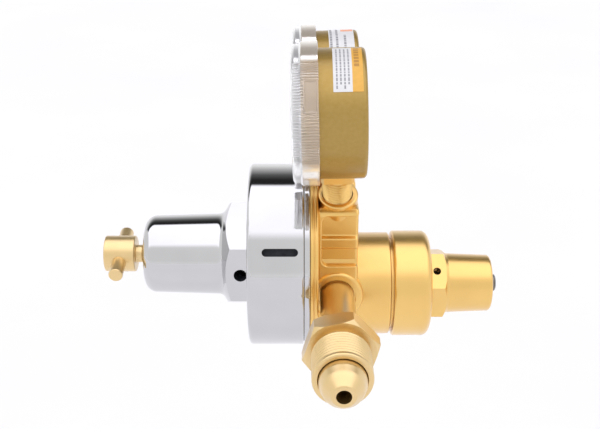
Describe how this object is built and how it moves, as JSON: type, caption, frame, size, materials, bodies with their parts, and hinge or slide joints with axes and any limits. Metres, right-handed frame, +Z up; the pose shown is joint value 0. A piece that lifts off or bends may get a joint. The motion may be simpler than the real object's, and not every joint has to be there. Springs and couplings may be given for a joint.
{
  "type": "carbon dioxide regulator",
  "caption": "Two-stage cylinder gas regulator: chromed knob with a T-bar screw, forged brass body, brass preset stage, V-mounted gauges and a side inlet nut.",
  "frame": {"origin": "middle of the inlet nut's outside thread, on the inlet axis", "axes": "-Y points out of the inlet into the cylinder valve, -X points to the adjusting knob, +X to the preset stage, +Z up to the gauges"},
  "size_m": [0.1785, 0.1579, 0.1467],
  "materials": {
    "forged_brass": "bead-blasted and bright dipped",
    "turned_brass": "machined",
    "pale_brass": "machined, paler, satin",
    "knob_chrome": "polished chrome plate",
    "plain_steel": "zinc plated",
    "spring_steel": "oiled spring wire",
    "sintered_bronze": "sintered, rough",
    "case_paint": "metallic olive gold paint",
    "clear_cover": "clear moulded",
    "dial_white": "satin white with black scale",
    "pointer_black": "satin black",
    "label_film": "gloss film, white with an orange band"
  },
  "bodies": {
    "regulator": {"body": "forged_brass", "bonnet": "knob_chrome", "bonnet_ring": "knob_chrome", "range_spring": "spring_steel", "diaphragm": "plain_steel", "slip_ring": "turned_brass", "seat_nozzle": "turned_brass", "poppet_spring": "spring_steel", "first_stage_cap": "turned_brass", "first_stage_spring": "spring_steel", "first_stage_diaphragm": "plain_steel", "first_stage_slip_ring": "turned_brass", "first_stage_nozzle": "turned_brass", "first_stage_poppet_spring": "spring_steel", "inlet_nipple": "pale_brass", "inlet_filter": "sintered_bronze", "outlet_fitting": "pale_brass", "near_gauge_case": "case_paint", "near_gauge_cover": "clear_cover", "near_gauge_dial": "dial_white", "near_gauge_socket": "turned_brass", "near_gauge_bourdon_tube": "turned_brass", "near_gauge_movement": "turned_brass", "near_gauge_label": "label_film", "far_gauge_case": "case_paint", "far_gauge_cover": "clear_cover", "far_gauge_dial": "dial_white", "far_gauge_socket": "turned_brass", "far_gauge_bourdon_tube": "turned_brass", "far_gauge_movement": "turned_brass", "far_gauge_label": "label_film"},
    "spring_button": {"spring_button": "plain_steel"},
    "adjusting_screw": {"adjusting_screw": "pale_brass", "t_bar": "pale_brass"},
    "inlet_nut": {"inlet_nut": "pale_brass"},
    "second_stage_valve": {"diaphragm_plate": "turned_brass", "valve_poppet": "turned_brass"},
    "first_stage_valve": {"first_stage_plate": "turned_brass", "first_stage_poppet": "turned_brass"},
    "first_stage_button": {"first_stage_button": "plain_steel"},
    "preset_screw": {"preset_screw": "plain_steel"},
    "near_sector": {"near_gauge_sector": "turned_brass"},
    "near_pointer": {"near_gauge_pointer": "pointer_black"},
    "far_sector": {"far_gauge_sector": "turned_brass"},
    "far_pointer": {"far_gauge_pointer": "pointer_black"}
  },
  "joints": [
    {"name": "screw_advance", "type": "slide", "parent": "regulator", "child": "spring_button", "axis": [1, 0, 0], "range_m": [-0.0037, 0.0037], "deforming": ["range_spring"]},
    {"name": "screw_turn", "type": "hinge", "parent": "spring_button", "child": "adjusting_screw", "pos_m": [-0.09785, 0.0806, 0.0095], "axis": [1, 0, 0], "range_deg": [-1260, 1260]},
    {"name": "nut_spin", "type": "hinge", "parent": "regulator", "child": "inlet_nut", "pos_m": [0, 0, 0], "axis": [0, -1, 0], "continuous": true},
    {"name": "second_stage_lift", "type": "slide", "parent": "regulator", "child": "second_stage_valve", "axis": [1, 0, 0], "range_m": [0, 0.0005], "stiffness_N_per_m": 1500, "deforming": ["diaphragm", "poppet_spring"]},
    {"name": "first_stage_lift", "type": "slide", "parent": "regulator", "child": "first_stage_valve", "axis": [-1, 0, 0], "range_m": [0, 0.0004], "stiffness_N_per_m": 1500, "deforming": ["first_stage_diaphragm", "first_stage_poppet_spring"]},
    {"name": "preset_advance", "type": "slide", "parent": "regulator", "child": "first_stage_button", "axis": [-1, 0, 0], "range_m": [-0.00105, 0.00105], "deforming": ["first_stage_spring"]},
    {"name": "preset_turn", "type": "hinge", "parent": "first_stage_button", "child": "preset_screw", "pos_m": [0.0737, 0.0806, -0.0055], "axis": [-1, 0, 0], "range_deg": [-360, 360]},
    {"name": "near_sector_turn", "type": "hinge", "parent": "regulator", "child": "near_sector", "pos_m": [-0.00128, 0.0519, 0.07877], "axis": [0.9997, -0.01, 0.0242], "range_deg": [-33.7, 0], "stiffness_Nm_per_rad": 0.002, "deforming": ["near_gauge_bourdon_tube"]},
    {"name": "near_pointer_turn", "type": "hinge", "parent": "regulator", "child": "near_pointer", "pos_m": [-0.00152, 0.04846, 0.08709], "axis": [0.9997, -0.01, 0.0242], "range_deg": [0, 270]},
    {"name": "far_sector_turn", "type": "hinge", "parent": "regulator", "child": "far_sector", "pos_m": [-0.00106, 0.10601, 0.07083], "axis": [0.9997, 0.01, 0.0242], "range_deg": [-33.7, 0], "stiffness_Nm_per_rad": 0.002, "deforming": ["far_gauge_bourdon_tube"]},
    {"name": "far_pointer_turn", "type": "hinge", "parent": "regulator", "child": "far_pointer", "pos_m": [-0.00129, 0.10945, 0.07914], "axis": [0.9997, 0.01, 0.0242], "range_deg": [0, 270]}
  ],
  "couplings": [
    {"joint": "screw_turn", "follows": "screw_advance", "rad_per_m": 5936.9},
    {"joint": "preset_turn", "follows": "preset_advance", "rad_per_m": 5936.9},
    {"joint": "near_pointer_turn", "follows": "near_sector_turn", "ratio": -8},
    {"joint": "far_pointer_turn", "follows": "far_sector_turn", "ratio": -8}
  ]
}
